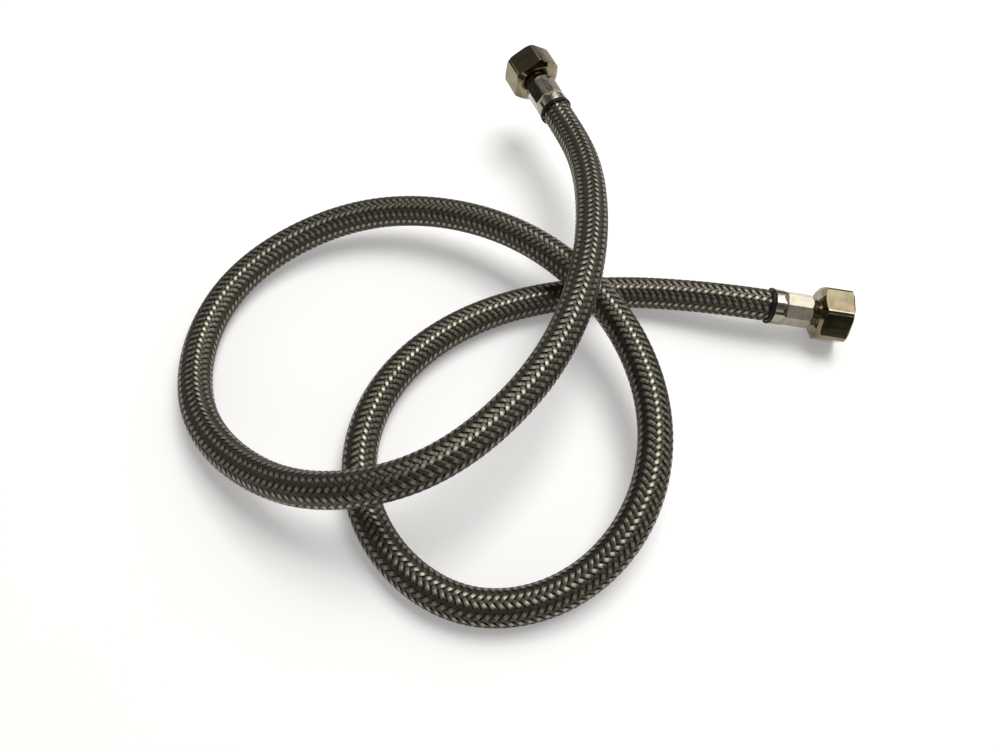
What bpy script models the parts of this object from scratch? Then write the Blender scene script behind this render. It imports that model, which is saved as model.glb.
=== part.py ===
# Braided water supply line: a rubber hose in a stainless braid, with a crimped ferrule and a
# swivel hex nut at each end, lying in two loose loops. Metres, Z up, the floor at Z = 0.
import math

import bmesh
import bpy
import numpy as np
from mathutils import Matrix
from mathutils import Vector

MM = 0.001

# Gap kept between neighbouring pieces
CLEARANCE = 0.3 * MM

# Hose: a rubber liner inside a braided sleeve
HOSE_DIAMETER = 14.5 * MM
BRAID_WALL = 0.75 * MM
LINER_WALL = 1.7 * MM
HOSE_POINTS = 60
HOSE_BEVEL_STEPS = 4

# How far the crimp presses the hose in, on its radius
CRIMP_DEPTH = 0.9 * MM

# Dark collar round the hose where it leaves the ferrule
COLLAR_LENGTH = 2.2 * MM
COLLAR_WALL = 0.65 * MM
COLLAR_EDGE = 0.3 * MM

# Crimp ferrule: a round sleeve that keeps its lip, is pressed into flats and turned in at its end
FERRULE_LENGTH = 17.4 * MM
FERRULE_FLATS = 8
FERRULE_WALL = 0.55 * MM
FERRULE_LIP_LENGTH = 3.4 * MM
FERRULE_LIP_RISE = 0.1 * MM
FERRULE_TAPER_LENGTH = 2.2 * MM
FERRULE_TURN_IN_LENGTH = 1.5 * MM
FERRULE_TURN_IN_DEPTH = 1.1 * MM
FERRULE_END_WALL = 1.2 * MM

# Hose tail: a barbed stem in the liner, a shoulder, a neck and the flange that holds the nut
TAIL_STEM_WALL = 0.9 * MM
TAIL_STEM_LENGTH = 12.0 * MM
TAIL_BARBS = 3
TAIL_BARB_DEPTH = 0.25 * MM
TAIL_SHOULDER_LENGTH = 1.2 * MM
TAIL_NECK_DIAMETER = 11.0 * MM
TAIL_FLANGE_THICKNESS = 1.5 * MM

# Swivel nut for a half-inch pipe thread, with its bore at the thread's inner diameter
NUT_SIDES = 6
NUT_ACROSS_FLATS = 23.0 * MM
NUT_LENGTH = 13.7 * MM
NUT_BORE_DIAMETER = 18.8 * MM
NUT_BORE_LEAD_IN = 0.6 * MM
NUT_BACK_WALL = 2.5 * MM
NUT_BACK_LAND_INSET = 1.7 * MM
NUT_MOUTH_CORNER_CUT = 1.4 * MM
NUT_CHAMFER_ANGLE = math.radians(33.0)
NUT_GAP_TO_FERRULE = 1.9 * MM
NUT_FLOAT = 1.0 * MM

# Sealing washer in the bottom of the nut
WASHER_THICKNESS = 2.0 * MM
WASHER_HOLE_DIAMETER = 10.0 * MM

TURNING_STEPS = 36
CUTTER_OVERRUN = 1.0 * MM
WELD_DISTANCE = 0.001 * MM

# Where each end points, and how far its flats are turned from facing up
BACK_END_AXIS = Vector((-0.425, 0.897, 0.12)).normalized()
BACK_END_ROLL = math.radians(34.0)
SIDE_END_AXIS = Vector((0.987, -0.153, -0.052)).normalized()
SIDE_END_ROLL = math.radians(3.0)

# The hose's centre line in millimetres, from the back end's collar to the side end's
ROUTE_MM = [
    (20.5, 104.5, 35.5), (31, 72, 37), (33, 34, 41), (28, -4, 43), (15, -40, 42), (-7, -71, 41),
    (-37.5, -94, 40), (-74, -97.5, 31), (-107, -83, 18), (-133, -56.5, 10), (-142.5, -20, 7.3),
    (-132.5, 16.5, 8.5), (-105.5, 43, 11.5), (-69.5, 54.5, 16.5), (-32, 50, 21), (1.5, 32.5, 25),
    (28.5, 5.5, 27), (47.5, -28, 25.5), (54.5, -65, 20.5), (45, -101, 14.5), (18, -127.5, 9),
    (-19, -133.5, 7.3), (-51, -113, 7.3), (-65.5, -78, 7.3), (-58.5, -41, 7.3), (-34, -11.5, 7.3),
    (-0.5, 6, 7.3), (37.5, 12.5, 8), (75.5, 8.5, 11.5), (112.5, 0.5, 14.5),
]

# Hose radii: the tube's sides touch these circles at their corners
HOSE_SIDES = 4 + 2 * HOSE_BEVEL_STEPS
SIDE_FLATNESS = math.cos(math.pi / HOSE_SIDES)
BRAID_RADIUS = HOSE_DIAMETER / 2
BRAID_CRIMPED_RADIUS = BRAID_RADIUS - CRIMP_DEPTH
LINER_INSET = (BRAID_WALL + CLEARANCE) / SIDE_FLATNESS
LINER_RADIUS = BRAID_RADIUS - LINER_INSET
LINER_CRIMPED_RADIUS = BRAID_CRIMPED_RADIUS - LINER_INSET
LINER_CRIMPED_BORE_RADIUS = LINER_CRIMPED_RADIUS * SIDE_FLATNESS - LINER_WALL

# Radii of the end fittings
COLLAR_BORE_RADIUS = BRAID_RADIUS + CLEARANCE
COLLAR_RADIUS = COLLAR_BORE_RADIUS + COLLAR_WALL
FERRULE_BORE_RADIUS = BRAID_CRIMPED_RADIUS + CLEARANCE
FERRULE_FLAT_RADIUS = FERRULE_BORE_RADIUS + FERRULE_WALL
FERRULE_CORNER_RADIUS = FERRULE_FLAT_RADIUS / math.cos(math.pi / FERRULE_FLATS)
FERRULE_LIP_RADIUS = FERRULE_CORNER_RADIUS + FERRULE_LIP_RISE
TAIL_STEM_RADIUS = LINER_CRIMPED_BORE_RADIUS - CLEARANCE
TAIL_BORE_RADIUS = TAIL_STEM_RADIUS - TAIL_STEM_WALL
TAIL_SHOULDER_RADIUS = FERRULE_BORE_RADIUS - CLEARANCE
TAIL_NECK_RADIUS = TAIL_NECK_DIAMETER / 2
NECK_HOLE_RADIUS = TAIL_NECK_RADIUS + CLEARANCE
NUT_FLAT_RADIUS = NUT_ACROSS_FLATS / 2
NUT_CORNER_RADIUS = NUT_FLAT_RADIUS / math.cos(math.pi / NUT_SIDES)
NUT_BORE_RADIUS = NUT_BORE_DIAMETER / 2
TAIL_FLANGE_RADIUS = NUT_BORE_RADIUS - CLEARANCE
WASHER_RADIUS = NUT_BORE_RADIUS - CLEARANCE
WASHER_HOLE_RADIUS = WASHER_HOLE_DIAMETER / 2

# Places along an end's axis, from the collar's face on the hose side
FERRULE_START = COLLAR_LENGTH + CLEARANCE
FERRULE_END = FERRULE_START + FERRULE_LENGTH
SHOULDER_END = FERRULE_END - FERRULE_END_WALL - CLEARANCE
SHOULDER_START = SHOULDER_END - TAIL_SHOULDER_LENGTH
HOSE_END = SHOULDER_START - CLEARANCE
NUT_BACK = FERRULE_END + NUT_GAP_TO_FERRULE
NUT_SEAT = NUT_BACK + NUT_BACK_WALL
NUT_MOUTH = NUT_BACK + NUT_LENGTH
FLANGE_BACK = NUT_SEAT + NUT_FLOAT + CLEARANCE
FLANGE_FACE = FLANGE_BACK + TAIL_FLANGE_THICKNESS
WASHER_BACK = FLANGE_FACE + CLEARANCE
WASHER_FACE = WASHER_BACK + WASHER_THICKNESS


def make_material(name, colour, roughness, metallic):
    material = bpy.data.materials.new(name)
    material.use_nodes = True
    shader = material.node_tree.nodes["Principled BSDF"]
    shader.inputs["Base Color"].default_value = (*colour, 1.0)
    shader.inputs["Roughness"].default_value = roughness
    shader.inputs["Metallic"].default_value = metallic
    return material


def add_object(name, data, parent=None, material=None):
    thing = bpy.data.objects.new(name, data)
    bpy.context.scene.collection.objects.link(thing)
    thing.parent = parent
    if material:
        data.materials.append(material)
    return thing


def mesh_from(name, shape, sharp_angle=math.radians(30.0)):
    bmesh.ops.remove_doubles(shape, verts=shape.verts, dist=WELD_DISTANCE)
    bmesh.ops.recalc_face_normals(shape, faces=shape.faces)
    mesh = bpy.data.meshes.new(name)
    shape.to_mesh(mesh)
    shape.free()
    mesh.shade_smooth()
    mesh.set_sharp_from_angle(angle=sharp_angle)
    return mesh


# A turned shape from (radius, place along the axis) points. An outline that starts and ends
# on the axis makes a solid, and a closed one makes a ring. It starts half a step round, so that
# none of its ridges runs into a corner between flats.
def turned_mesh(name, outline, closed):
    shape = bmesh.new()
    start = Matrix.Rotation(math.pi / TURNING_STEPS, 3, 'Z')
    points = [shape.verts.new(start @ Vector((radius, 0.0, place))) for radius, place in outline]
    lines = [shape.edges.new(pair) for pair in zip(points, points[1:])]
    if closed:
        lines.append(shape.edges.new((points[-1], points[0])))
    bmesh.ops.spin(
        shape, geom=points + lines, cent=(0, 0, 0), axis=(0, 0, 1),
        angle=2 * math.pi, steps=TURNING_STEPS, use_merge=True,
    )
    return mesh_from(name, shape)


# A bar along the axis with one flat facing local +X, from (flat radius, place) pairs
def flat_sided_mesh(name, sides, outline):
    shape = bmesh.new()
    rings = []
    for flat_radius, place in outline:
        corner_radius = flat_radius / math.cos(math.pi / sides)
        ring = []
        for index in range(sides):
            angle = (index + 0.5) * 2 * math.pi / sides
            corner = (corner_radius * math.cos(angle), corner_radius * math.sin(angle), place)
            ring.append(shape.verts.new(corner))
        rings.append(ring)
    for low, high in zip(rings, rings[1:]):
        for index in range(sides):
            after = (index + 1) % sides
            shape.faces.new((low[index], low[after], high[after], high[index]))
    shape.faces.new(rings[0])
    shape.faces.new(rings[-1])
    return mesh_from(name, shape)


def combine(target, operation, name, mesh):
    tool = add_object(name, mesh, target.parent)
    tool.hide_render = True
    tool.display_type = 'WIRE'
    step = target.modifiers.new(operation.lower(), 'BOOLEAN')
    step.operation = operation
    step.object = tool


# A smooth curve through the route, leaving both ends along their own axes
def smooth_route():
    route = np.array(ROUTE_MM) * MM
    steps = np.linalg.norm(np.diff(route, axis=0), axis=1)
    count = len(route)
    system = np.eye(count)
    wanted = np.zeros((count, 3))
    wanted[0] = -np.array(BACK_END_AXIS)
    wanted[-1] = np.array(SIDE_END_AXIS)
    for index in range(1, count - 1):
        before = steps[index - 1]
        after = steps[index]
        system[index, index - 1] = 1 / before
        system[index, index] = 2 / before + 2 / after
        system[index, index + 1] = 1 / after
        rise_before = (route[index] - route[index - 1]) / before ** 2
        rise_after = (route[index + 1] - route[index]) / after ** 2
        wanted[index] = 3 * (rise_before + rise_after)
    slopes = np.linalg.solve(system, wanted)
    places = np.concatenate(([0.0], np.cumsum(steps)))
    points = []
    for place in np.linspace(0.0, places[-1], HOSE_POINTS):
        index = min(int(np.searchsorted(places, place, side="right")) - 1, count - 2)
        length = steps[index]
        part = (place - places[index]) / length
        start_pull = part * (1 - part) ** 2 * length
        end_pull = -part ** 2 * (1 - part) * length
        blend = part ** 2 * (3 - 2 * part)
        point = route[index] * (1 - blend) + route[index + 1] * blend
        points.append(point + slopes[index] * start_pull + slopes[index + 1] * end_pull)
    return points


# A hollow tube along the hose, drawn in where the ferrules press it
def hose_tube(name, free_radius, crimped_radius, wall, material):
    back = Vector(points_along[0])
    side = Vector(points_along[-1])
    stations = [
        (back + BACK_END_AXIS * HOSE_END, crimped_radius),
        (back + BACK_END_AXIS * COLLAR_LENGTH, crimped_radius),
    ]
    stations += [(Vector(point), free_radius) for point in points_along]
    stations += [
        (side + SIDE_END_AXIS * COLLAR_LENGTH, crimped_radius),
        (side + SIDE_END_AXIS * HOSE_END, crimped_radius),
    ]
    curve = bpy.data.curves.new(name, 'CURVE')
    curve.dimensions = '3D'
    curve.bevel_depth = free_radius
    curve.bevel_resolution = HOSE_BEVEL_STEPS
    curve.render_resolution_u = 0
    spline = curve.splines.new('POLY')
    spline.points.add(len(stations) - 1)
    for knot, (place, radius) in zip(spline.points, stations):
        knot.co = (*place, 1.0)
        knot.radius = radius / free_radius
    spline.use_smooth = True
    tube = add_object(name, curve, material=material)
    shell = tube.modifiers.new("wall", 'SOLIDIFY')
    shell.thickness = wall
    shell.offset = -1.0
    shell.use_even_offset = True


def print_least_gap():
    line = np.array(points_along)
    spans = np.linalg.norm(np.diff(line, axis=0), axis=1)
    reach = np.concatenate(([0.0], np.cumsum(spans)))
    apart = np.linalg.norm(line[:, None] - line[None, :], axis=2)
    neighbours = np.abs(reach[:, None] - reach[None, :]) < 4 * HOSE_DIAMETER
    least = apart[~neighbours].min() - HOSE_DIAMETER
    print(f"least gap from the hose to itself: {least / MM:.2f} mm, length {reach[-1] / MM:.0f} mm")


def end_frame(name, place, axis, roll):
    up = Vector((0.0, 0.0, 1.0))
    flat = (up - axis * up.dot(axis)).normalized()
    flat = Matrix.Rotation(roll, 3, axis) @ flat
    turn = Matrix((flat, axis.cross(flat), axis)).transposed().to_4x4()
    empty = add_object(name, None)
    empty.matrix_world = Matrix.Translation(place) @ turn
    return empty


def collar(end, frame):
    name = end + "_collar"
    outline = [
        (COLLAR_BORE_RADIUS, 0.0),
        (COLLAR_RADIUS - COLLAR_EDGE, 0.0),
        (COLLAR_RADIUS, COLLAR_EDGE),
        (COLLAR_RADIUS, COLLAR_LENGTH - COLLAR_EDGE),
        (COLLAR_RADIUS - COLLAR_EDGE, COLLAR_LENGTH),
        (COLLAR_BORE_RADIUS, COLLAR_LENGTH),
    ]
    look = make_material(name, (0.02, 0.018, 0.017), 0.45, 0.0)
    add_object(name, turned_mesh(name, outline, True), frame, look)


def ferrule(end, frame):
    name = end + "_crimp_ferrule"
    lip_end = FERRULE_START + FERRULE_LIP_LENGTH
    look = make_material(name, (0.62, 0.58, 0.50), 0.2, 1.0)
    sleeve = [
        (0.0, FERRULE_START),
        (FERRULE_LIP_RADIUS, FERRULE_START),
        (FERRULE_LIP_RADIUS, FERRULE_END - FERRULE_TURN_IN_LENGTH),
        (FERRULE_LIP_RADIUS - FERRULE_TURN_IN_DEPTH, FERRULE_END),
        (0.0, FERRULE_END),
    ]
    body = add_object(name, turned_mesh(name, sleeve, False), frame, look)
    jaws = [
        (FERRULE_LIP_RADIUS + CUTTER_OVERRUN, FERRULE_START - CUTTER_OVERRUN),
        (FERRULE_LIP_RADIUS + CUTTER_OVERRUN, lip_end),
        (FERRULE_LIP_RADIUS, lip_end),
        (FERRULE_FLAT_RADIUS, lip_end + FERRULE_TAPER_LENGTH),
        (FERRULE_FLAT_RADIUS, FERRULE_END + CUTTER_OVERRUN),
    ]
    combine(body, 'INTERSECT', name + "_jaws", flat_sided_mesh(name + "_jaws", FERRULE_FLATS, jaws))
    bore = [
        (0.0, FERRULE_START - CUTTER_OVERRUN),
        (FERRULE_BORE_RADIUS, FERRULE_START - CUTTER_OVERRUN),
        (FERRULE_BORE_RADIUS, FERRULE_END - FERRULE_END_WALL),
        (NECK_HOLE_RADIUS, FERRULE_END - FERRULE_END_WALL),
        (NECK_HOLE_RADIUS, FERRULE_END + CUTTER_OVERRUN),
        (0.0, FERRULE_END + CUTTER_OVERRUN),
    ]
    combine(body, 'DIFFERENCE', name + "_bore", turned_mesh(name + "_bore", bore, False))


def hose_tail(end, frame):
    name = end + "_hose_tail"
    stem_start = SHOULDER_START - TAIL_STEM_LENGTH
    barb_length = TAIL_STEM_LENGTH / (TAIL_BARBS + 1)
    outline = [(TAIL_BORE_RADIUS, FLANGE_FACE), (TAIL_BORE_RADIUS, stem_start)]
    for index in range(TAIL_BARBS):
        barb_start = stem_start + index * barb_length
        outline.append((TAIL_STEM_RADIUS - TAIL_BARB_DEPTH, barb_start))
        outline.append((TAIL_STEM_RADIUS, barb_start + barb_length))
    outline += [
        (TAIL_STEM_RADIUS - TAIL_BARB_DEPTH, stem_start + TAIL_BARBS * barb_length),
        (TAIL_STEM_RADIUS - TAIL_BARB_DEPTH, SHOULDER_START),
        (TAIL_SHOULDER_RADIUS, SHOULDER_START),
        (TAIL_SHOULDER_RADIUS, SHOULDER_END),
        (TAIL_NECK_RADIUS, SHOULDER_END),
        (TAIL_NECK_RADIUS, FLANGE_BACK),
        (TAIL_FLANGE_RADIUS, FLANGE_BACK),
        (TAIL_FLANGE_RADIUS, FLANGE_FACE),
    ]
    look = make_material(name, (0.66, 0.62, 0.54), 0.22, 1.0)
    add_object(name, turned_mesh(name, outline, True), frame, look)


def swivel_nut(end, frame):
    name = end + "_swivel_nut"
    look = make_material(name, (0.60, 0.55, 0.46), 0.16, 1.0)
    bar = [
        (NUT_FLAT_RADIUS, NUT_BACK - CUTTER_OVERRUN),
        (NUT_FLAT_RADIUS, NUT_MOUTH + CUTTER_OVERRUN),
    ]
    body = add_object(name, flat_sided_mesh(name, NUT_SIDES, bar), frame, look)
    back_land = NUT_FLAT_RADIUS - NUT_BACK_LAND_INSET
    mouth_land = NUT_CORNER_RADIUS - NUT_MOUTH_CORNER_CUT
    wide = NUT_CORNER_RADIUS + CUTTER_OVERRUN
    slope = math.tan(NUT_CHAMFER_ANGLE)
    blank = [
        (0.0, NUT_BACK),
        (back_land, NUT_BACK),
        (wide, NUT_BACK + (wide - back_land) * slope),
        (wide, NUT_MOUTH - (wide - mouth_land) * slope),
        (mouth_land, NUT_MOUTH),
        (0.0, NUT_MOUTH),
    ]
    combine(body, 'INTERSECT', name + "_blank", turned_mesh(name + "_blank", blank, False))
    bore = [
        (0.0, NUT_BACK - CUTTER_OVERRUN),
        (NECK_HOLE_RADIUS, NUT_BACK - CUTTER_OVERRUN),
        (NECK_HOLE_RADIUS, NUT_SEAT),
        (NUT_BORE_RADIUS, NUT_SEAT),
        (NUT_BORE_RADIUS, NUT_MOUTH - NUT_BORE_LEAD_IN),
        (NUT_BORE_RADIUS + NUT_BORE_LEAD_IN + CUTTER_OVERRUN, NUT_MOUTH + CUTTER_OVERRUN),
        (0.0, NUT_MOUTH + CUTTER_OVERRUN),
    ]
    combine(body, 'DIFFERENCE', name + "_bore", turned_mesh(name + "_bore", bore, False))


def washer(end, frame):
    name = end + "_sealing_washer"
    outline = [
        (WASHER_HOLE_RADIUS, WASHER_BACK),
        (WASHER_RADIUS, WASHER_BACK),
        (WASHER_RADIUS, WASHER_FACE),
        (WASHER_HOLE_RADIUS, WASHER_FACE),
    ]
    look = make_material(name, (0.03, 0.03, 0.032), 0.7, 0.0)
    add_object(name, turned_mesh(name, outline, True), frame, look)


for old in list(bpy.data.objects):
    bpy.data.objects.remove(old, do_unlink=True)

points_along = smooth_route()
print_least_gap()
rubber = make_material("inner_liner", (0.025, 0.025, 0.027), 0.8, 0.0)
steel = make_material("braid_sleeve", (0.42, 0.40, 0.35), 0.35, 1.0)
hose_tube("inner_liner", LINER_RADIUS, LINER_CRIMPED_RADIUS, LINER_WALL, rubber)
hose_tube("braid_sleeve", BRAID_RADIUS, BRAID_CRIMPED_RADIUS, BRAID_WALL, steel)

ends = [
    ("back", points_along[0], BACK_END_AXIS, BACK_END_ROLL),
    ("side", points_along[-1], SIDE_END_AXIS, SIDE_END_ROLL),
]
for end, place, axis, roll in ends:
    frame = end_frame(end + "_end", Vector(place), axis, roll)
    collar(end, frame)
    ferrule(end, frame)
    hose_tail(end, frame)
    swivel_nut(end, frame)
    washer(end, frame)
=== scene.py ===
import math
import bpy
import numpy as np
from mathutils import Matrix, Vector


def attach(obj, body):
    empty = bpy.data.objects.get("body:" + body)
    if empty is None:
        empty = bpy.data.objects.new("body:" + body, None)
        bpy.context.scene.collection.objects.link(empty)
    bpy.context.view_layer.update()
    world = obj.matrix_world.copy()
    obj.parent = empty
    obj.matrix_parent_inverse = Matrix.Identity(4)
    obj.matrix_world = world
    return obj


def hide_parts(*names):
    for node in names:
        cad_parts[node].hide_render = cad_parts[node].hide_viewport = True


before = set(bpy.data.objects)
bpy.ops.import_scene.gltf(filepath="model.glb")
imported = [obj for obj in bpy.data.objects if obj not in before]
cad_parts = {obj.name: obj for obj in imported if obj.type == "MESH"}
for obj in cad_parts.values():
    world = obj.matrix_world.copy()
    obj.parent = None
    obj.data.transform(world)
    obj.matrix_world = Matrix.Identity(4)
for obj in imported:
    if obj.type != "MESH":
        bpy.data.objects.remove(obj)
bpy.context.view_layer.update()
mm = 0.001
print("frame loaded:", len(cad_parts), "nodes")


# small helpers

def deselectAll():
    if bpy.context.mode != 'OBJECT':
        bpy.ops.object.mode_set(mode='OBJECT')
    bpy.ops.object.select_all(action='DESELECT')


def makeActive(piece):
    deselectAll()
    piece.select_set(True)
    bpy.context.view_layer.objects.active = piece


def selectFaces(piece, wanted):
    bpy.ops.object.mode_set(mode='OBJECT')
    for group in (piece.data.vertices, piece.data.edges):
        for item in group:
            item.select = False
    for face in piece.data.polygons:
        face.select = wanted(face)
    bpy.ops.object.mode_set(mode='EDIT')
    bpy.ops.mesh.select_mode(type='FACE')


def selectEdges(piece, wanted):
    # by the way that each edge runs
    bpy.ops.object.mode_set(mode='OBJECT')
    for group in (piece.data.vertices, piece.data.polygons):
        for item in group:
            item.select = False
    for edge in piece.data.edges:
        first, second = (piece.data.vertices[i].co for i in edge.vertices)
        edge.select = wanted((second - first).normalized())
    bpy.ops.object.mode_set(mode='EDIT')
    bpy.ops.mesh.select_mode(type='EDGE')


def linear(hexText):
    parts = [int(hexText[i:i + 2], 16) / 255 for i in (1, 3, 5)]
    return [p / 12.92 if p <= 0.04045 else ((p + 0.055) / 1.055) ** 2.4 for p in parts] + [1.0]


def addNode(tree, kind, inputs=None, **settings):
    node = tree.nodes.new(kind)
    for name, value in settings.items():
        setattr(node, name, value)
    for name, value in (inputs or {}).items():
        if isinstance(value, bpy.types.NodeSocket):
            tree.links.new(value, node.inputs[name])
        else:
            node.inputs[name].default_value = value
    return node


def newMaterial(name):
    material = bpy.data.materials.new(name)
    material.use_nodes = True
    tree = material.node_tree
    return material, tree, tree.nodes["Principled BSDF"]


# camera: where the photograph was taken from
cameraSettings = {
    "place": (-0.0080, -0.21827, 0.3053),
    "tilt": 32.0,
    "lens": 28.8,
    "sensor": 36.0,
}
bpy.ops.object.camera_add(
    location=cameraSettings["place"],
    rotation=(math.radians(cameraSettings["tilt"]), 0, 0))
camera = bpy.context.object
camera.data.lens = cameraSettings["lens"]
camera.data.sensor_width = cameraSettings["sensor"]
bpy.context.scene.camera = camera
print("camera placed")


# the hose's course, in metres, as the solids have it
hoseSettings = {
    "route": [
        (0.0205, 0.1045, 0.0355), (0.031, 0.072, 0.037), (0.033, 0.034, 0.041), (0.028, -0.004, 0.043),
        (0.015, -0.04, 0.042), (-0.007, -0.071, 0.041), (-0.0375, -0.094, 0.04), (-0.074, -0.0975, 0.031),
        (-0.107, -0.083, 0.018), (-0.133, -0.0565, 0.01), (-0.1425, -0.02, 0.0073), (-0.1325, 0.0165, 0.0085),
        (-0.1055, 0.043, 0.0115), (-0.0695, 0.0545, 0.0165), (-0.032, 0.05, 0.021), (0.0015, 0.0325, 0.025),
        (0.0285, 0.0055, 0.027), (0.0475, -0.028, 0.0255), (0.0545, -0.065, 0.0205), (0.045, -0.101, 0.0145),
        (0.018, -0.1275, 0.009), (-0.019, -0.1335, 0.0073), (-0.051, -0.113, 0.0073), (-0.0655, -0.078, 0.0073),
        (-0.0585, -0.041, 0.0073), (-0.034, -0.0115, 0.0073), (-0.0005, 0.006, 0.0073), (0.0375, 0.0125, 0.008),
        (0.0755, 0.0085, 0.0115), (0.1125, 0.0005, 0.0145),
    ],
    "diameter": 14.5 * mm,
    "crimpedDiameter": 12.7 * mm,
    "crimpStart": 2.2 * mm,     # how far past the collar's face the hose is at its pressed size
    "cutEnd": 16.9 * mm,        # how far the hose runs into the ferrule
    "linerDiameter": 13.1 * mm,
    "linerWall": 1.9 * mm,
    "stepsPerSpan": 40,
    "stubSteps": 17,            # points on the straight run into each ferrule
    "linerSteps": 420,          # points along the free liner
    "linerRounding": 6,
}
endSettings = {
    "back": {"axis": (-0.425, 0.897, 0.12), "roll": 34.0},
    "side": {"axis": (0.987, -0.153, -0.052), "roll": 3.0},
}
for endInfo in endSettings.values():
    endInfo["axis"] = Vector(endInfo["axis"]).normalized()
endSettings["back"]["place"] = Vector(hoseSettings["route"][0])
endSettings["side"]["place"] = Vector(hoseSettings["route"][-1])


def hoseCourse():
    # one smooth curve through the route that leaves each end along its own axis
    route = np.array(hoseSettings["route"])
    spans = np.linalg.norm(np.diff(route, axis=0), axis=1)
    count = len(route)
    system = np.eye(count)
    wanted = np.zeros((count, 3))
    wanted[0] = -np.array(endSettings["back"]["axis"])
    wanted[-1] = np.array(endSettings["side"]["axis"])
    for i in range(1, count - 1):
        before, after = spans[i - 1], spans[i]
        system[i, i - 1:i + 2] = 1 / before, 2 / before + 2 / after, 1 / after
        wanted[i] = 3 * ((route[i] - route[i - 1]) / before ** 2 + (route[i + 1] - route[i]) / after ** 2)
    slopes = np.linalg.solve(system, wanted)
    line = []
    for i in range(count - 1):
        for t in np.arange(hoseSettings["stepsPerSpan"]) / hoseSettings["stepsPerSpan"]:
            eased = t * t * (3 - 2 * t)
            pull = slopes[i] * t * (1 - t) ** 2 - slopes[i + 1] * t * t * (1 - t)
            line.append(route[i] * (1 - eased) + route[i + 1] * eased + pull * spans[i])
    line.append(route[-1])
    # straight on into both ferrules
    steps = hoseSettings["stubSteps"]
    stub = np.arange(1, steps + 1) / steps * hoseSettings["cutEnd"]
    backStub = [route[0] + np.array(endSettings["back"]["axis"]) * s for s in stub[::-1]]
    sideStub = [route[-1] + np.array(endSettings["side"]["axis"]) * s for s in stub]
    return np.array(backStub + line + sideStub), len(stub)


course, stubCount = hoseCourse()
courseReach = np.concatenate(([0.0], np.cumsum(np.linalg.norm(np.diff(course, axis=0), axis=1))))
courseReach -= courseReach[stubCount]                  # zero at the back collar's face
freeLength = courseReach[-1 - stubCount]

# frames that follow the course without twisting
courseAlong = np.gradient(course, courseReach, axis=0)
courseAlong /= np.linalg.norm(courseAlong, axis=1)[:, None]
courseUp = np.zeros_like(course)
courseUp[0] = np.cross(courseAlong[0], (1.0, 0.0, 0.0))
courseUp[0] /= np.linalg.norm(courseUp[0])
for i in range(1, len(course)):
    turned = courseUp[i - 1] - courseAlong[i] * np.dot(courseUp[i - 1], courseAlong[i])
    courseUp[i] = turned / np.linalg.norm(turned)


def atReach(reach, values):
    return np.stack([np.interp(reach, courseReach, values[:, k]) for k in range(3)], axis=1)


def pressedShare(reach):
    # 0 on the free hose, 1 where a ferrule grips it
    beyond = np.maximum(-reach, reach - freeLength)
    return np.clip(beyond / hoseSettings["crimpStart"], 0, 1)


# rubber liner, the cord itself
def makeLiner():
    deselectAll()
    bpy.ops.curve.primitive_nurbs_path_add()
    liner = bpy.context.object
    liner.name = "rubber_liner"
    liner.data.splines.clear()
    spline = liner.data.splines.new('POLY')
    # every fourth point of the straight ends, and the cut end itself
    reaches = np.concatenate((
        courseReach[:stubCount:4], np.linspace(0, freeLength, hoseSettings["linerSteps"]),
        courseReach[-stubCount:][3::4], courseReach[-1:]))
    places = atReach(reaches, course)
    spline.points.add(len(places) - 1)
    free = hoseSettings["linerDiameter"] / 2
    drawn = (hoseSettings["diameter"] - hoseSettings["crimpedDiameter"]) / 2
    for knot, place, pressed in zip(spline.points, places, pressedShare(reaches)):
        knot.co = (*place, 1.0)
        knot.radius = 1 - pressed * drawn / free
    spline.use_smooth = True
    liner.data.bevel_depth = free
    liner.data.bevel_resolution = hoseSettings["linerRounding"]
    makeActive(liner)
    bpy.ops.object.convert(target='MESH')
    wall = liner.modifiers.new("wall", 'SOLIDIFY')
    wall.thickness = hoseSettings["linerWall"]
    wall.offset = -1.0
    bpy.ops.object.modifier_apply(modifier=wall.name)
    return liner, places


liner, linerPath = makeLiner()
print("liner made:", len(liner.data.polygons), "faces")


# stainless braid: 12 strands each way, each passing over two and under two
braidSettings = {
    "strandsEachWay": 12,
    "lead": 37.0 * mm,            # length of one turn
    "strandWidth": 1.95 * mm,
    "strandThickness": 0.21 * mm,
    "waveHeight": 0.26 * mm,      # half the step between a strand on top and one below
    "waveFlatness": 4.0,          # smaller gives a flatter top and a steeper dip
    "stationsPerCrossing": 3,
    "groupsEachWay": 3,
    "middleOfFloat": {1: 0.5, -1: 2.5},     # where the strands of each way lie on top, in crossings
    "toneSeed": {1: 7, -1: 8},
    # across and through the strand, as shares of its width and thickness
    "section": [(-0.5, -0.3), (-0.43, 0.26), (-0.22, 0.46), (0.22, 0.46), (0.43, 0.26), (0.5, -0.3), (0.0, -0.5)],
}


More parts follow.
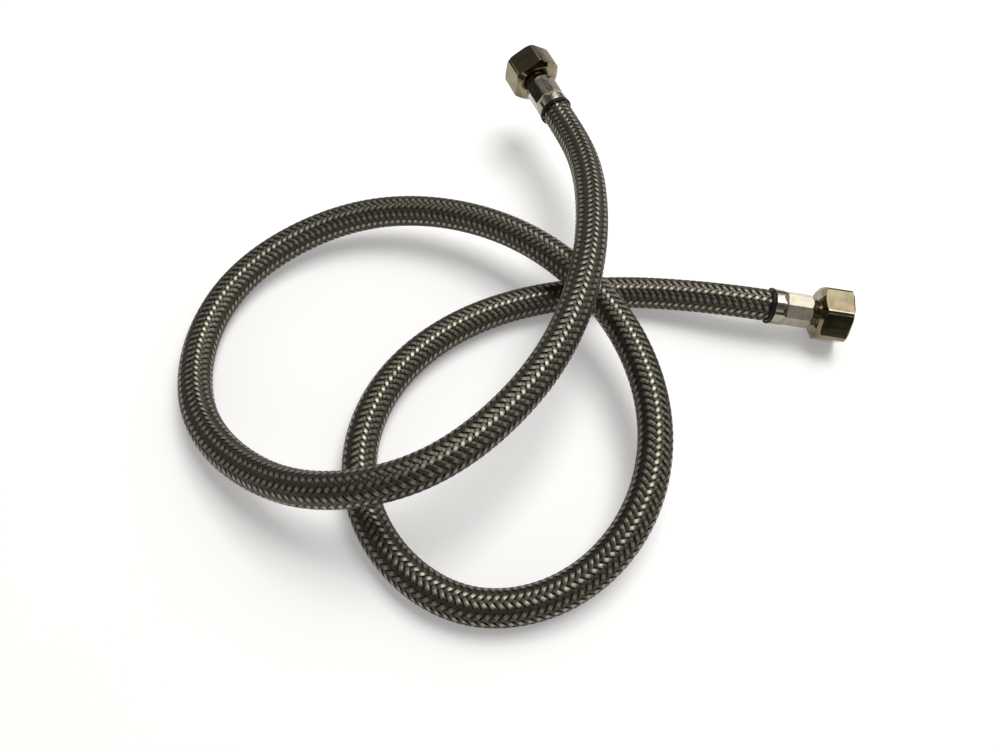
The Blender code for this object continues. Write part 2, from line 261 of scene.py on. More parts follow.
def makeStrands(name, turnWay, strands):
    b = braidSettings
    count = b["strandsEachWay"]
    lead = b["lead"]
    crossingStep = lead / (2 * count)
    first = math.ceil(courseReach[0] / crossingStep)
    last = math.floor(courseReach[-1] / crossingStep)
    crossing = np.arange(first, last + 1e-6, 1 / b["stationsPerCrossing"])
    reach = crossing * crossingStep
    stations = len(reach)
    centre = atReach(reach, course)
    along = atReach(reach, courseAlong)
    up = atReach(reach, courseUp)
    along /= np.linalg.norm(along, axis=1)[:, None]
    up /= np.linalg.norm(up, axis=1)[:, None]
    out = np.cross(along, up)
    drawn = pressedShare(reach) * (hoseSettings["diameter"] - hoseSettings["crimpedDiameter"]) / 2
    middle = hoseSettings["diameter"] / 2 - b["strandThickness"] / 2 - b["waveHeight"]
    pitchAngle = math.atan2(2 * math.pi * middle, lead)
    corners = len(b["section"])
    tones = np.random.default_rng(b["toneSeed"][turnWay]).uniform(0, 1, count)
    points, faces, lifts = [], [], []
    for order, strand in enumerate(strands):
        # both ways lie on top at their own places round the hose, so the dashes stand in rows
        wave = np.cos((2 * strand + turnWay * crossing - b["middleOfFloat"][turnWay]) * math.pi / 2)
        lift = wave / np.sqrt(wave ** 2 + b["waveFlatness"] ** 2) * math.sqrt(1 + b["waveFlatness"] ** 2)
        radius = middle + b["waveHeight"] * lift - drawn
        angle = turnWay * 2 * math.pi * reach / lead + 2 * math.pi * strand / count
        cosine, sine = np.cos(angle)[:, None], np.sin(angle)[:, None]
        outward = cosine * up + sine * out
        sideways = cosine * out - sine * up
        across = -math.sin(pitchAngle) * turnWay * along + math.cos(pitchAngle) * sideways
        ring = []
        for share, depth in b["section"]:
            side = share * b["strandWidth"]
            sag = (side * math.cos(pitchAngle)) ** 2 / (2 * radius)
            height = radius + depth * b["strandThickness"] - sag
            ring.append(centre + outward * height[:, None] + across * side)
        points.append(np.stack(ring, axis=1).reshape(-1, 3))
        lifts.append(np.repeat(lift, corners))
        row = order * stations * corners + np.arange(stations - 1)[:, None] * corners
        here = row + np.arange(corners)[None, :]
        beside = row + (np.arange(corners) + 1)[None, :] % corners
        faces.append(np.stack([here, beside, beside + corners, here + corners], axis=2).reshape(-1, 4))
    mesh = bpy.data.meshes.new(name)
    mesh.from_pydata(np.concatenate(points).tolist(), [], np.concatenate(faces).tolist())
    mesh.shade_smooth()
    # the strand's own map: across it from 0 to 1, and along it in millimetres
    acrossMap = np.tile([share + 0.5 for share, depth in b["section"]], stations * len(strands))
    alongMap = np.tile(np.repeat(reach / math.cos(pitchAngle) / mm, corners), len(strands))
    loopPoint = np.zeros(len(mesh.loops), dtype=np.int32)
    mesh.loops.foreach_get("vertex_index", loopPoint)
    strandMap = mesh.uv_layers.new(name="strandMap")
    strandMap.data.foreach_set("uv", np.stack([acrossMap, alongMap], axis=1)[loopPoint].ravel())
    tone = mesh.attributes.new("strandTone", 'FLOAT', 'POINT')
    tone.data.foreach_set("value", np.repeat(tones[list(strands)], stations * corners).astype(np.float32))
    rise = mesh.attributes.new("strandLift", 'FLOAT', 'POINT')
    rise.data.foreach_set("value", (np.concatenate(lifts) * 0.5 + 0.5).astype(np.float32))
    piece = bpy.data.objects.new(name, mesh)
    bpy.context.scene.collection.objects.link(piece)
    makeActive(piece)
    bpy.ops.object.mode_set(mode='EDIT')
    bpy.ops.mesh.select_all(action='SELECT')
    bpy.ops.mesh.fill_holes(sides=corners)              # the cut ends
    bpy.ops.mesh.select_all(action='SELECT')
    bpy.ops.mesh.normals_make_consistent(inside=False)
    bpy.ops.object.mode_set(mode='OBJECT')
    return piece


braidPieces = []
for wayName, turnWay in (("right", 1), ("left", -1)):
    groupSize = braidSettings["strandsEachWay"] // braidSettings["groupsEachWay"]
    for group in range(braidSettings["groupsEachWay"]):
        strands = range(group * groupSize, (group + 1) * groupSize)
        piece = makeStrands("braid_%s_%d" % (wayName, group + 1), turnWay, strands)
        braidPieces.append(piece)
print("braid made:", sum(len(p.data.polygons) for p in braidPieces) * 2, "triangles")


# each end fitting is shaped once on its own axis, then copied and set on both ends of the hose
shapingSettings = {
    "mergeDistance": 0.002 * mm,        # points closer than this are one point
    "cutMergeDistance": 0.01 * mm,      # and after a cut
    "axisReach": 0.05 * mm,             # points nearer to the axis than this aren't rounded
    "flatAngle": 0.5,                   # faces that meet flatter than this are one face
    "smoothAngle": 35.0,
    "sortingPoint": (0.37, 0.11, 0.53),  # off every axis, so that no two points are equally far from it
}


def endMatrix(endName):
    info = endSettings[endName]
    axis = info["axis"]
    up = Vector((0, 0, 1))
    flat = (up - axis * up.dot(axis)).normalized()
    flat = Matrix.Rotation(math.radians(info["roll"]), 3, axis) @ flat
    turn = Matrix((flat, axis.cross(flat), axis)).transposed().to_4x4()
    return Matrix.Translation(info["place"]) @ turn


def drawOutline(name, outline, closed, rounding, roundSteps):
    # one vertex pulled along the outline, back to its start where it closes, then the corners rounded
    deselectAll()
    bpy.ops.mesh.primitive_plane_add(size=1 * mm, location=(0, 0, 0))
    piece = bpy.context.object
    piece.name = name
    bpy.ops.object.mode_set(mode='EDIT')
    bpy.ops.mesh.select_mode(type='VERT')
    bpy.ops.mesh.select_all(action='SELECT')
    bpy.ops.mesh.merge(type='CENTER')
    here = Vector((0, 0, 0))
    first = Vector((outline[0][0], 0, outline[0][1]))
    bpy.ops.transform.translate(value=first - here)
    here = first
    for radius, place in outline[1:] + (outline[:1] if closed else []):
        there = Vector((radius, 0, place))
        bpy.ops.mesh.extrude_region_move(TRANSFORM_OT_translate={"value": there - here})
        here = there
    bpy.ops.mesh.select_all(action='SELECT')
    bpy.ops.mesh.remove_doubles(threshold=shapingSettings["mergeDistance"])
    if rounding:
        bpy.ops.object.mode_set(mode='OBJECT')
        for vertex in piece.data.vertices:
            vertex.select = vertex.co.x > shapingSettings["axisReach"]
        bpy.ops.object.mode_set(mode='EDIT')
        bpy.ops.mesh.bevel(offset=rounding, segments=roundSteps, affect='VERTICES')
    return piece


def turnOutline(name, outline, closed, steps, rounding=0.0, roundSteps=1):
    piece = drawOutline(name, outline, closed, rounding, roundSteps)
    bpy.ops.mesh.select_all(action='SELECT')
    bpy.ops.mesh.spin(steps=steps, angle=2 * math.pi, center=(0, 0, 0), axis=(0, 0, 1))
    bpy.ops.mesh.select_all(action='SELECT')
    bpy.ops.mesh.remove_doubles(threshold=shapingSettings["mergeDistance"])
    bpy.ops.mesh.normals_make_consistent(inside=False)
    bpy.ops.object.mode_set(mode='OBJECT')
    return piece


def addPrism(name, sides, flatRadius, low, high):
    # a bar with one flat facing +X
    deselectAll()
    turn = 0.0 if sides % 4 == 2 else math.pi / sides
    bpy.ops.mesh.primitive_cylinder_add(
        vertices=sides, radius=flatRadius / math.cos(math.pi / sides), depth=high - low,
        location=(0, 0, (high + low) / 2), rotation=(0, 0, turn))
    piece = bpy.context.object
    piece.name = name
    bpy.ops.object.transform_apply(location=True, rotation=True, scale=True)
    return piece


def combine(piece, tool, operation):
    makeActive(piece)
    step = piece.modifiers.new("combine", 'BOOLEAN')
    step.operation = operation
    step.solver = 'EXACT'
    step.object = tool
    bpy.ops.object.modifier_apply(modifier=step.name)
    bpy.data.objects.remove(tool, do_unlink=True)
    # a cut leaves its points in any order, so they are put in one order and every run gives the same mesh
    bpy.context.scene.cursor.location = shapingSettings["sortingPoint"]
    bpy.ops.object.mode_set(mode='EDIT')
    bpy.ops.mesh.select_all(action='SELECT')
    bpy.ops.mesh.sort_elements(type='CURSOR_DISTANCE', elements={'VERT', 'EDGE', 'FACE'})
    bpy.ops.object.mode_set(mode='OBJECT')


def softenEdges(piece, width, segments, angle):
    makeActive(piece)
    bpy.ops.object.mode_set(mode='EDIT')
    bpy.ops.mesh.select_all(action='SELECT')
    bpy.ops.mesh.remove_doubles(threshold=shapingSettings["cutMergeDistance"])
    bpy.ops.mesh.dissolve_limited(angle_limit=math.radians(shapingSettings["flatAngle"]))
    bpy.ops.object.mode_set(mode='OBJECT')
    bevel = piece.modifiers.new("soften", 'BEVEL')
    bevel.width = width
    bevel.segments = segments
    bevel.limit_method = 'ANGLE'
    bevel.angle_limit = math.radians(angle)
    bevel.miter_outer = 'MITER_ARC'
    bevel.use_clamp_overlap = True
    bpy.ops.object.modifier_apply(modifier=bevel.name)
    steady = piece.modifiers.new("steady", 'WEIGHTED_NORMAL')
    steady.keep_sharp = True
    bpy.ops.object.shade_smooth()
    bpy.ops.object.modifier_apply(modifier=steady.name)


def keepOwnPlace(piece, smoothAngle=shapingSettings["smoothAngle"]):
    # each point keeps its place on the piece's own axis, for the finish
    makeActive(piece)
    bpy.ops.object.shade_smooth_by_angle(angle=math.radians(smoothAngle))
    own = np.zeros(len(piece.data.vertices) * 3, dtype=np.float32)
    piece.data.vertices.foreach_get("co", own)
    layer = piece.data.attributes.new("ownPlace", 'FLOAT_VECTOR', 'POINT')
    layer.data.foreach_set("vector", own)
    return piece


def copyToEnd(model, endName):
    piece = model.copy()
    piece.data = model.data.copy()
    piece.name = endName + "_" + model.name
    bpy.context.scene.collection.objects.link(piece)
    makeActive(piece)
    piece.matrix_world = endMatrix(endName)
    bpy.ops.object.transform_apply(location=True, rotation=True, scale=True)
    return piece


collarSettings = {
    "bore": 7.42 * mm, "outer": 8.2 * mm, "start": 0.55 * mm, "end": 2.2 * mm, "rounding": 0.36 * mm,
    "leanIn": 0.12 * mm, "roundSteps": 4, "turnSteps": 96, "smoothAngle": 60.0,
}


def makeCollar():
    c = collarSettings
    rim = c["outer"] - c["leanIn"]
    outline = [
        (c["bore"], c["start"]), (rim, c["start"]), (c["outer"], (c["start"] + c["end"]) / 2),
        (rim, c["end"]), (c["bore"], c["end"]),
    ]
    piece = turnOutline("collar_ring", outline, True, c["turnSteps"], c["rounding"], c["roundSteps"])
    return keepOwnPlace(piece, c["smoothAngle"])


ferruleSettings = {
    "start": 2.5 * mm, "end": 19.9 * mm, "lipRadius": 7.89 * mm, "lipEnd": 5.9 * mm,
    "flats": 8, "flatRadius": 7.2 * mm, "taper": 2.2 * mm,     # the jaws' flats run out over the taper
    "turnIn": 1.5 * mm, "endRadius": 6.79 * mm, "bore": 6.65 * mm, "endWall": 1.2 * mm, "neckHole": 5.8 * mm,
    "lipRounding": 0.42 * mm, "roundSteps": 4, "turnSteps": 96,
    "softEdge": 0.5 * mm, "softSteps": 3, "softAngle": 12.0,
    "over": 1 * mm,             # how far a cutting tool stands past the piece
}


def makeFerrule():
    # a round sleeve, pressed between flat jaws and turned in at its end
    f = ferruleSettings
    sleeve = [
        (0, f["start"]), (f["lipRadius"], f["start"]), (f["lipRadius"], f["end"] - f["turnIn"]),
        (f["endRadius"], f["end"]), (0, f["end"]),
    ]
    piece = turnOutline("pressed_ferrule", sleeve, False, f["turnSteps"], f["lipRounding"], f["roundSteps"])
    jaws = addPrism("jaws", f["flats"], f["flatRadius"], f["lipEnd"] + f["taper"], f["end"] + f["over"])
    selectFaces(jaws, lambda face: face.normal.z < -0.9)
    steps = [(f["lipRadius"], f["taper"]), (f["lipRadius"] + f["over"], 0), (f["lipRadius"] + f["over"], f["lipEnd"])]
    width = f["flatRadius"]
    for radius, drop in steps:
        bpy.ops.mesh.extrude_region_move(TRANSFORM_OT_translate={"value": (0, 0, -drop)})
        grow = radius / width
        bpy.ops.transform.resize(value=(grow, grow, 1), center_override=(0, 0, 0))
        width = radius
    bpy.ops.object.mode_set(mode='OBJECT')
    combine(piece, jaws, 'INTERSECT')
    bore = [
        (0, f["start"] - f["over"]), (f["bore"], f["start"] - f["over"]), (f["bore"], f["end"] - f["endWall"]),
        (f["neckHole"], f["end"] - f["endWall"]), (f["neckHole"], f["end"] + f["over"]), (0, f["end"] + f["over"]),
    ]
    combine(piece, turnOutline("ferrule_bore", bore, False, f["turnSteps"]), 'DIFFERENCE')
    softenEdges(piece, f["softEdge"], f["softSteps"], f["softAngle"])
    return keepOwnPlace(piece)


tailSettings = {
    "bore": 2.18 * mm, "stem": 3.08 * mm, "barb": 0.25 * mm, "stemStart": 5.2 * mm, "shoulderStart": 17.2 * mm,
    "shoulderEnd": 18.4 * mm, "shoulder": 6.35 * mm, "neck": 5.5 * mm, "flangeBack": 25.6 * mm,
    "flangeFace": 27.1 * mm, "flange": 9.1 * mm, "barbs": 3, "softEdge": 0.12 * mm,
    "roundSteps": 2, "turnSteps": 72,
}


def makeTail():
    t = tailSettings
    barbLength = (t["shoulderStart"] - t["stemStart"]) / (t["barbs"] + 1)
    outline = [(t["bore"], t["flangeFace"]), (t["bore"], t["stemStart"])]
    for i in range(t["barbs"]):
        outline.append((t["stem"] - t["barb"], t["stemStart"] + i * barbLength))
        outline.append((t["stem"], t["stemStart"] + (i + 1) * barbLength))
    lastBarb = t["stemStart"] + t["barbs"] * barbLength
    outline += [
        (t["stem"] - t["barb"], lastBarb), (t["stem"] - t["barb"], t["shoulderStart"]),
        (t["shoulder"], t["shoulderStart"]), (t["shoulder"], t["shoulderEnd"]), (t["neck"], t["shoulderEnd"]),
        (t["neck"], t["flangeBack"]), (t["flange"], t["flangeBack"]), (t["flange"], t["flangeFace"]),
    ]
    piece = turnOutline("turned_tail", outline, True, t["turnSteps"], t["softEdge"], t["roundSteps"])
    return keepOwnPlace(piece)


nutSettings = {
    "flatRadius": 11.5 * mm, "back": 21.8 * mm, "seat": 24.3 * mm, "mouth": 35.5 * mm, "backLand": 9.8 * mm,
    "mouthLand": 11.88 * mm, "chamfer": 33.0, "neckHole": 5.8 * mm, "over": 1 * mm, "turnSteps": 94,
    "cornerRounding": 1.5 * mm, "cornerSteps": 6, "softEdge": 0.45 * mm, "softSteps": 3, "softAngle": 22.0,
    # half-inch pipe thread inside the mouth, its ridge in shares of the pitch
    "threadRoot": 10.4 * mm, "threadCrest": 9.45 * mm, "threadPitch": 1.814 * mm, "threadStart": 30.0 * mm,
    "threadTurns": 2, "threadSteps": 64, "reliefSlope": 0.6 * mm,
    "ridgeHalf": 0.46, "crestFrom": 0.85, "crestTo": 1.15, "ridgeSink": 0.08 * mm,
}


def makeNut():
    n = nutSettings
    over = n["over"]
    piece = addPrism("hex_nut", 6, n["flatRadius"], n["back"] - over, n["mouth"] + over)
    selectEdges(piece, lambda edge: abs(edge.z) > 0.9)
    bpy.ops.mesh.bevel(offset=n["cornerRounding"], segments=n["cornerSteps"], affect='EDGES')
    bpy.ops.object.mode_set(mode='OBJECT')
    wide = n["flatRadius"] / math.cos(math.pi / 6) + over
    slope = math.tan(math.radians(n["chamfer"]))
    blank = [
        (0, n["back"]), (n["backLand"], n["back"]), (wide, n["back"] + (wide - n["backLand"]) * slope),
        (wide, n["mouth"] - (wide - n["mouthLand"]) * slope), (n["mouthLand"], n["mouth"]), (0, n["mouth"]),
    ]
    combine(piece, turnOutline("nut_blank", blank, False, n["turnSteps"]), 'INTERSECT')
    bore = [
        (0, n["back"] - over), (n["neckHole"], n["back"] - over), (n["neckHole"], n["seat"]),
        (n["threadCrest"], n["seat"]), (n["threadCrest"], n["threadStart"] - n["reliefSlope"]),
        (n["threadRoot"], n["threadStart"]), (n["threadRoot"], n["mouth"] + over), (0, n["mouth"] + over),
    ]
    combine(piece, turnOutline("nut_bore", bore, False, n["turnSteps"]), 'DIFFERENCE')
    softenEdges(piece, n["softEdge"], n["softSteps"], n["softAngle"])
    # the thread's ridge, wound up inside the mouth
    half = n["threadPitch"] * n["ridgeHalf"]
    foot = n["threadRoot"] + n["ridgeSink"]
    start = n["threadStart"]
    ridge = drawOutline("thread_ridge", [
        (foot, start), (n["threadCrest"], start + half * n["crestFrom"]),
        (n["threadCrest"], start + half * n["crestTo"]), (foot, start + 2 * half)], True, 0.0, 1)
    bpy.ops.object.mode_set(mode='OBJECT')
    makeActive(ridge)
    wind = ridge.modifiers.new("wind", 'SCREW')
    wind.axis = 'Z'
    wind.screw_offset = n["threadPitch"]
    wind.iterations = n["threadTurns"]
    wind.steps = wind.render_steps = n["threadSteps"]
    bpy.ops.object.modifier_apply(modifier=wind.name)
    bpy.ops.object.mode_set(mode='EDIT')
    bpy.ops.mesh.select_all(action='SELECT')
    bpy.ops.mesh.remove_doubles(threshold=shapingSettings["mergeDistance"])
    bpy.ops.mesh.fill_holes(sides=4)                    # the ridge's two ends
    bpy.ops.mesh.select_all(action='SELECT')
    bpy.ops.mesh.normals_make_consistent(inside=False)
    bpy.ops.object.mode_set(mode='OBJECT')
    makeActive(piece)
    ridge.select_set(True)
    bpy.ops.object.join()
    return keepOwnPlace(piece)


washerSettings = {
    "hole": 5.0 * mm, "outer": 9.1 * mm, "back": 27.4 * mm, "face": 29.4 * mm, "rounding": 0.3 * mm,
    "roundSteps": 3, "turnSteps": 72, "smoothAngle": 60.0,
}


def makeWasher():
    w = washerSettings
    outline = [(w["hole"], w["back"]), (w["outer"], w["back"]), (w["outer"], w["face"]), (w["hole"], w["face"])]
    piece = turnOutline("rubber_washer", outline, True, w["turnSteps"], w["rounding"], w["roundSteps"])
    return keepOwnPlace(piece, w["smoothAngle"])


models = {
    "collar": makeCollar(),
    "ferrule": makeFerrule(),
    "tail": makeTail(),
    "nut": makeNut(),
    "washer": makeWasher(),
}
fittings = {}
for endName in ("back", "side"):
    fittings[endName] = {kind: copyToEnd(model, endName) for kind, model in models.items()}
    print(endName, "end made:", {k: len(p.data.polygons) for k, p in fittings[endName].items()})
for model in models.values():
    bpy.data.objects.remove(model, do_unlink=True)


# finishes

def blend(tree, share, first, second):
    mix = addNode(tree, 'ShaderNodeMix', {0: share, 6: first, 7: second}, data_type='RGBA')
    return mix.outputs[2]


def remap(tree, value, low, high, toLow, toHigh):
    return addNode(tree, 'ShaderNodeMapRange', {0: value, 1: low, 2: high, 3: toLow, 4: toHigh}).outputs[0]


def sums(tree, operation, first, second):
    return addNode(tree, 'ShaderNodeMath', {0: first, 1: second}, operation=operation).outputs[0]


wireSettings = {
    # the dip colour is painted shade, for where a strand goes under its neighbours
    "crown": "#a19a8a", "dipShadeColour": "#4b4840", "tarnish": "#7d7768",
    "wiresInStrand": 5,           # the real strand has seven; drawn coarser so that they show
    "wireDepth": 0.05 * mm, "wireStrength": 0.4, "roughLow": 0.35, "roughHigh": 0.48,
    "tarnishScale": 260,          # per metre
    # from, to, and the shares of the crown's colour there; the side, dip and wire-gap fades lay painted shade
    "sideShadeFade": (0.22, 0.46, 1.0, 0.2), "dipShadeFade": (0.87, 0.998, 0.06, 1.0), "wireGapShadeFade": (0.0, 0.6, 0.7, 1.0),
    "stainFade": (0.45, 0.75, 0.0, 0.7),
}


def steelBraidFinish():
    # drawn stainless wires side by side: warm grey crowns that catch the light in short dashes,
    # with painted shade, near black, where a strand dips under its neighbours, which keeps the dashes short
    w = wireSettings
    material, tree, shader = newMaterial("drawnStainlessWire")
    own = addNode(tree, 'ShaderNodeUVMap', uv_map="strandMap")
    place = addNode(tree, 'ShaderNodeSeparateXYZ', {0: own.outputs[0]})
    lift = addNode(tree, 'ShaderNodeAttribute', attribute_name="strandLift").outputs["Fac"]
    tone = addNode(tree, 'ShaderNodeAttribute', attribute_name="strandTone").outputs["Fac"]
    turns = sums(tree, 'MULTIPLY', place.outputs["X"], math.pi * w["wiresInStrand"])
    ridge = addNode(tree, 'ShaderNodeMath', {0: sums(tree, 'SINE', turns, 0.0)}, operation='ABSOLUTE').outputs[0]
    # painted shade: strands darken towards their sides, between their wires and where they go under
    middle = addNode(tree, 'ShaderNodeMath', {0: sums(tree, 'SUBTRACT', place.outputs["X"], 0.5)},
                     operation='ABSOLUTE').outputs[0]
    clearOfPaintedShade = sums(tree, 'MULTIPLY', remap(tree, middle, *w["sideShadeFade"]), remap(tree, lift, *w["dipShadeFade"]))
    # painted shade in the grooves between the wires
    clearOfPaintedShade = sums(tree, 'MULTIPLY', clearOfPaintedShade, remap(tree, ridge, *w["wireGapShadeFade"]))
    whole = addNode(tree, 'ShaderNodeTexCoord').outputs["Object"]
    cloud = addNode(tree, 'ShaderNodeTexNoise', {0: whole, "Scale": w["tarnishScale"], "Detail": 3.0})
    stain = sums(tree, 'MULTIPLY', remap(tree, cloud.outputs[0], *w["stainFade"]), tone)
    metal = blend(tree, stain, linear(w["crown"]), linear(w["tarnish"]))
    # painted shade: the dip colour over the metal wherever the strand is not clear of it
    tree.links.new(blend(tree, clearOfPaintedShade, linear(w["dipShadeColour"]), metal), shader.inputs["Base Color"])
    tree.links.new(remap(tree, cloud.outputs[0], 0.3, 0.7, w["roughLow"], w["roughHigh"]), shader.inputs["Roughness"])
    shader.inputs["Metallic"].default_value = 1.0
    bump = addNode(tree, 'ShaderNodeBump', {"Height": ridge, "Distance": w["wireDepth"], "Strength": w["wireStrength"]})
    tree.links.new(bump.outputs[0], shader.inputs["Normal"])
    return material


# the fittings' metals: scales are per metre on the piece's own axis
wearSettings = {
    "cloudFade": (0.4, 0.65, 0.0, 1.0), "lineFade": (0.3, 0.7, 0.6, 1.0),
    "roughFrom": 0.7, "roughTo": 1.3,       # sum of smears and marks at the smoothest and the roughest
}
metalSettings = {
    "platedBrass": {
        "bright": "#897d64", "worn": "#6f6650", "lines": (2600, 2600, 90), "lineDepth": 0.008 * mm,
        "lineStrength": 0.3, "cloud": 210, "roughLow": 0.07, "roughHigh": 0.14,
    },
    "pressedStainless": {
        "bright": "#a59e8e", "worn": "#948d7e", "lines": (1500, 1500, 160), "lineDepth": 0.012 * mm,
        "lineStrength": 0.4, "cloud": 260, "roughLow": 0.12, "roughHigh": 0.24,
    },
    "turnedNickel": {
        "bright": "#95896f", "worn": "#7a6f5a", "lines": (60, 60, 3000), "lineDepth": 0.012 * mm,
        "lineStrength": 0.4, "cloud": 300, "roughLow": 0.18, "roughHigh": 0.30,
    },
}


def metalFinish(name):
    # polished metal with faint drawing or turning marks and handling smears, so that its reflections break up softly
    f = metalSettings[name]
    material, tree, shader = newMaterial(name)
    own = addNode(tree, 'ShaderNodeAttribute', attribute_name="ownPlace").outputs["Vector"]
    stretch = addNode(tree, 'ShaderNodeMapping', {0: own, "Scale": f["lines"]})
    lines = addNode(tree, 'ShaderNodeTexNoise', {0: stretch.outputs[0], "Scale": 1.0, "Detail": 2.0}).outputs[0]
    cloud = addNode(tree, 'ShaderNodeTexNoise', {0: own, "Scale": f["cloud"], "Detail": 4.0}).outputs[0]
    smears = remap(tree, cloud, *wearSettings["cloudFade"])
    wear = sums(tree, 'MULTIPLY', smears, remap(tree, lines, *wearSettings["lineFade"]))
    tree.links.new(blend(tree, wear, linear(f["bright"]), linear(f["worn"])), shader.inputs["Base Color"])
    rough = remap(tree, sums(tree, 'ADD', cloud, lines), wearSettings["roughFrom"], wearSettings["roughTo"],
                  f["roughLow"], f["roughHigh"])
    tree.links.new(rough, shader.inputs["Roughness"])
    shader.inputs["Metallic"].default_value = 1.0
    bump = addNode(tree, 'ShaderNodeBump', {"Height": lines, "Distance": f["lineDepth"], "Strength": f["lineStrength"]})
    tree.links.new(bump.outputs[0], shader.inputs["Normal"])
    return material


# dark mouldings: scales are per metre
dustSettings = {"fade": (0.45, 0.75, 0.0, 1.0), "grainStrength": 0.3}
darkSettings = {
    "blackNylon": {"base": "#0d0b0a", "dust": "#191613", "grain": 1800, "cloud": 350, "grainDepth": 0.02 * mm,
                   "roughLow": 0.42, "roughHigh": 0.58, "gloss": 0.22},
    "linerRubber": {"base": "#141312", "dust": "#23211f", "grain": 1400, "cloud": 160, "grainDepth": 0.03 * mm,
                    "roughLow": 0.62, "roughHigh": 0.8, "gloss": 0.25},
    "washerRubber": {"base": "#1b1a19", "dust": "#2e2b28", "grain": 1600, "cloud": 280, "grainDepth": 0.03 * mm,
                     "roughLow": 0.6, "roughHigh": 0.82, "gloss": 0.3},
}


def darkFinish(name):
    # black moulding with a fine grain and a breath of dust, so that it never reads as a flat hole
    d = darkSettings[name]
    material, tree, shader = newMaterial(name)
    own = addNode(tree, 'ShaderNodeTexCoord').outputs["Object"]
    grain = addNode(tree, 'ShaderNodeTexNoise', {0: own, "Scale": d["grain"], "Detail": 2.0}).outputs[0]
    cloud = addNode(tree, 'ShaderNodeTexNoise', {0: own, "Scale": d["cloud"], "Detail": 4.0}).outputs[0]
    dust = remap(tree, cloud, *dustSettings["fade"])
    tree.links.new(blend(tree, dust, linear(d["base"]), linear(d["dust"])), shader.inputs["Base Color"])
    tree.links.new(remap(tree, cloud, 0.3, 0.7, d["roughLow"], d["roughHigh"]), shader.inputs["Roughness"])
    shader.inputs["Specular IOR Level"].default_value = d["gloss"]
    bump = addNode(tree, 'ShaderNodeBump', {
        "Height": grain, "Distance": d["grainDepth"], "Strength": dustSettings["grainStrength"]})
    tree.links.new(bump.outputs[0], shader.inputs["Normal"])
    return material


finishes = {
    "braid": steelBraidFinish(),
    "liner": darkFinish("linerRubber"),
    "collar": darkFinish("blackNylon"),
    "ferrule": metalFinish("pressedStainless"),
    "tail": metalFinish("turnedNickel"),
    "nut": metalFinish("platedBrass"),
    "washer": darkFinish("washerRubber"),
}


def dress(piece, finish):
    piece.data.materials.clear()
    piece.data.materials.append(finishes[finish])


# what each piece rides on, stands for and is made of
nodeNames = {
    "collar": "_collar", "ferrule": "_crimp_ferrule", "tail": "_hose_tail",
    "nut": "_swivel_nut", "washer": "_sealing_washer",
}
dress(liner, "liner")
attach(liner, "hose")
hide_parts("inner_liner")
for piece in braidPieces:
    dress(piece, "braid")
    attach(piece, "hose")
    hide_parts("braid_sleeve")
for endName, parts in fittings.items():
    for kind, piece in parts.items():
        dress(piece, kind)
        body = {"nut": endName + "_nut", "washer": endName + "_washer"}.get(kind, "hose")
        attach(piece, body)
        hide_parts(endName + nodeNames[kind])
print("pieces set on the frame")


# pale floor, a broad softbox overhead and a panel behind to the right
studioSettings = {
    "floorSize": 8.0,
    "floorColour": "#f1f0ee",
    "floorRoughness": 0.9,
    "floorLift": 0.2,             # brings the lit floor up to white
    "farLift": 0.8,               # and more beyond the lamps' reach
    "liftFrom": 0.45, "liftTo": 1.8,
    "skyColour": "#fbfaf8",
    "skyStrength": 0.145,
    "horizonStrength": 1.03,      # white where low views look past the floor's edge
    "fadeFrom": 0.2, "fadeTo": 0.7,
    "curtainRadius": 1.3,
    "curtainHeight": 0.42,
    "curtainSides": 64,
    "curtainColour": "#0c0b0a",
    "lamps": {
        "key_softbox": {"place": (0.42, 0.40, 1.55), "size": (1.3, 0.85), "power": 20.0},
        "fill_panel": {"place": (0.80, 1.21, 1.65), "size": (1.0, 1.0), "power": 7.2},
    },
}
deselectAll()
bpy.ops.mesh.primitive_plane_add(size=studioSettings["floorSize"], location=(0, 0, 0))
floor = bpy.context.object
floor.name = "studio_floor"
floorMaterial, floorTree, floorShader = newMaterial("paleFloor")
floorShader.inputs["Base Color"].default_value = linear(studioSettings["floorColour"])
floorShader.inputs["Roughness"].default_value = studioSettings["floorRoughness"]
rays = addNode(floorTree, 'ShaderNodeLightPath')
seen = addNode(floorTree, 'ShaderNodeMath', {0: rays.outputs["Is Camera Ray"], 1: rays.outputs["Is Glossy Ray"]},
               operation='MAXIMUM')
seen = addNode(floorTree, 'ShaderNodeMath', {0: seen.outputs[0], 1: rays.outputs["Is Transmission Ray"]},
               operation='MAXIMUM')
own = addNode(floorTree, 'ShaderNodeTexCoord')
away = addNode(floorTree, 'ShaderNodeVectorMath', {0: own.outputs["Object"]}, operation='LENGTH')
reachLift = addNode(floorTree, 'ShaderNodeMapRange', {
    0: away.outputs["Value"], 1: studioSettings["liftFrom"], 2: studioSettings["liftTo"],
    3: studioSettings["floorLift"], 4: studioSettings["farLift"]})
lift = addNode(floorTree, 'ShaderNodeMath', {0: seen.outputs[0], 1: reachLift.outputs[0]}, operation='MULTIPLY')
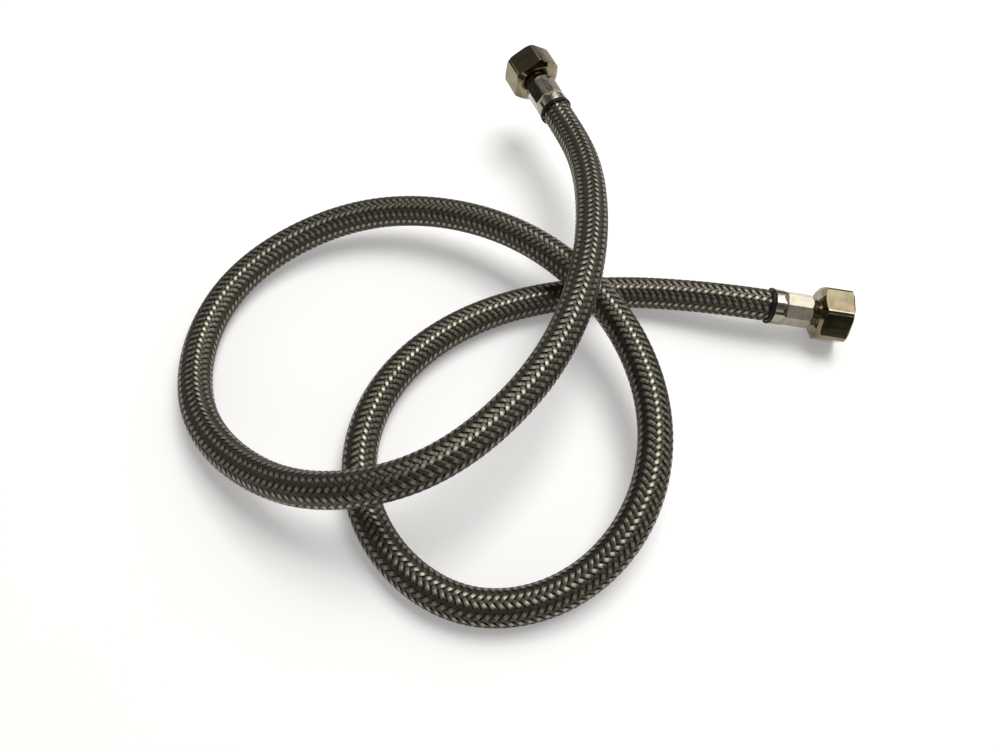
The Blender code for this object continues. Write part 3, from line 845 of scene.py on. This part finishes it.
floorShader.inputs["Emission Color"].default_value = (1, 1, 1, 1)
floorTree.links.new(lift.outputs[0], floorShader.inputs["Emission Strength"])
floor.data.materials.append(floorMaterial)

# a low dark curtain round the set, which only reflections see: it draws the metal's edges
deselectAll()
bpy.ops.mesh.primitive_cylinder_add(
    vertices=studioSettings["curtainSides"], radius=studioSettings["curtainRadius"],
    depth=studioSettings["curtainHeight"], end_fill_type='NOTHING',
    location=(0, 0, studioSettings["curtainHeight"] / 2))
curtain = bpy.context.object
curtain.name = "dark_curtain"
curtainMaterial, _, curtainShader = newMaterial("blackVelvet")
curtainShader.inputs["Base Color"].default_value = linear(studioSettings["curtainColour"])
curtainShader.inputs["Roughness"].default_value = 1.0
curtain.data.materials.append(curtainMaterial)
curtain.visible_camera = False
curtain.visible_diffuse = False
curtain.visible_shadow = False

# the room is dim overhead and pale along the horizon
world = bpy.data.worlds.new("studio")
world.use_nodes = True
bpy.context.scene.world = world
room = world.node_tree
background = room.nodes["Background"]
background.inputs["Color"].default_value = linear(studioSettings["skyColour"])
way = addNode(room, 'ShaderNodeTexCoord')
height = addNode(room, 'ShaderNodeSeparateXYZ', {0: way.outputs["Generated"]})
fade = addNode(room, 'ShaderNodeMapRange', {
    0: height.outputs["Z"], 1: studioSettings["fadeFrom"], 2: studioSettings["fadeTo"],
    3: studioSettings["horizonStrength"], 4: studioSettings["skyStrength"]},
    interpolation_type='SMOOTHSTEP')
room.links.new(fade.outputs[0], background.inputs["Strength"])

for lampName, lampInfo in studioSettings["lamps"].items():
    deselectAll()
    bpy.ops.object.light_add(type='AREA', location=lampInfo["place"])
    lamp = bpy.context.object
    lamp.name = lampName
    lamp.data.shape = 'RECTANGLE'
    lamp.data.size, lamp.data.size_y = lampInfo["size"]
    lamp.data.energy = lampInfo["power"]
    lamp.rotation_euler = (-Vector(lampInfo["place"])).to_track_quat('-Z', 'Y').to_euler()

bpy.context.scene.view_settings.view_transform = 'Standard'
print("studio set")

bpy.context.view_layer.update()
